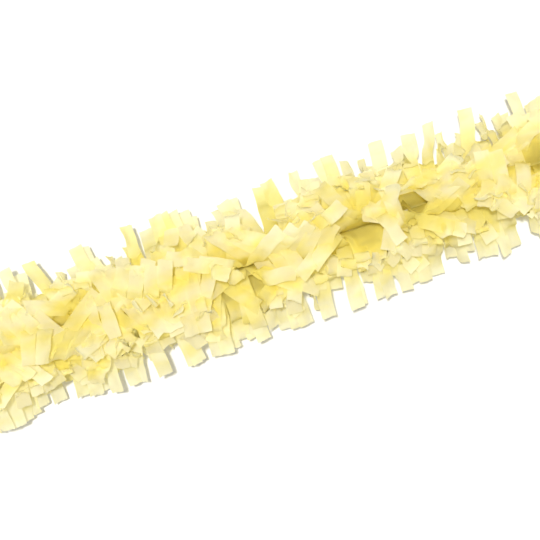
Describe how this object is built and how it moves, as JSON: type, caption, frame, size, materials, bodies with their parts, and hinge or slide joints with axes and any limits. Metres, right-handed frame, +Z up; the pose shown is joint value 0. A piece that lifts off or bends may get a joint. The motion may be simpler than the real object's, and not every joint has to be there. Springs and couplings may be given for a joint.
{
  "type": "tissue festooning garland",
  "caption": "Bushy round garland of fringed tissue paper sewn along a cotton core cord, with a knotted hanging loop at each end.",
  "frame": {"origin": "on the table, under the middle of the tissue", "axes": "+X along the garland towards its right end, +Z up"},
  "size_m": [0.5724, 0.1001, 0.0606],
  "materials": {
    "tissue": "matte",
    "cord": "matte",
    "thread": "satin"
  },
  "bodies": {
    "length_1": {"core_cord_1": "cord", "needle_thread_1": "thread", "bobbin_thread_1": "thread", "tissue_ply_a_1": "tissue", "tissue_ply_b_1": "tissue", "tissue_ply_c_1": "tissue", "tissue_ply_d_1": "tissue", "left_tail": "cord", "left_knot": "cord", "left_hanging_loop": "cord"},
    "length_2": {"core_cord_2": "cord", "needle_thread_2": "thread", "bobbin_thread_2": "thread", "tissue_ply_a_2": "tissue", "tissue_ply_b_2": "tissue", "tissue_ply_c_2": "tissue", "tissue_ply_d_2": "tissue"},
    "length_3": {"core_cord_3": "cord", "needle_thread_3": "thread", "bobbin_thread_3": "thread", "tissue_ply_a_3": "tissue", "tissue_ply_b_3": "tissue", "tissue_ply_c_3": "tissue", "tissue_ply_d_3": "tissue"},
    "length_4": {"core_cord_4": "cord", "needle_thread_4": "thread", "bobbin_thread_4": "thread", "tissue_ply_a_4": "tissue", "tissue_ply_b_4": "tissue", "tissue_ply_c_4": "tissue", "tissue_ply_d_4": "tissue"},
    "length_5": {"core_cord_5": "cord", "needle_thread_5": "thread", "bobbin_thread_5": "thread", "tissue_ply_a_5": "tissue", "tissue_ply_b_5": "tissue", "tissue_ply_c_5": "tissue", "tissue_ply_d_5": "tissue", "right_tail": "cord", "right_knot": "cord", "right_hanging_loop": "cord"}
  },
  "joints": [
    {"name": "left_inner_bend", "type": "hinge", "parent": "length_3", "child": "length_2", "pos_m": [-0.0441, 0, 0.026], "axis": [0, 1, 0], "range_deg": [-15, 15]},
    {"name": "left_outer_bend", "type": "hinge", "parent": "length_2", "child": "length_1", "pos_m": [-0.1323, 0, 0.026], "axis": [0, 1, 0], "range_deg": [-15, 15]},
    {"name": "right_inner_bend", "type": "hinge", "parent": "length_3", "child": "length_4", "pos_m": [0.0441, 0, 0.026], "axis": [0, -1, 0], "range_deg": [-15, 15]},
    {"name": "right_outer_bend", "type": "hinge", "parent": "length_4", "child": "length_5", "pos_m": [0.1323, 0, 0.026], "axis": [0, -1, 0], "range_deg": [-15, 15]}
  ]
}
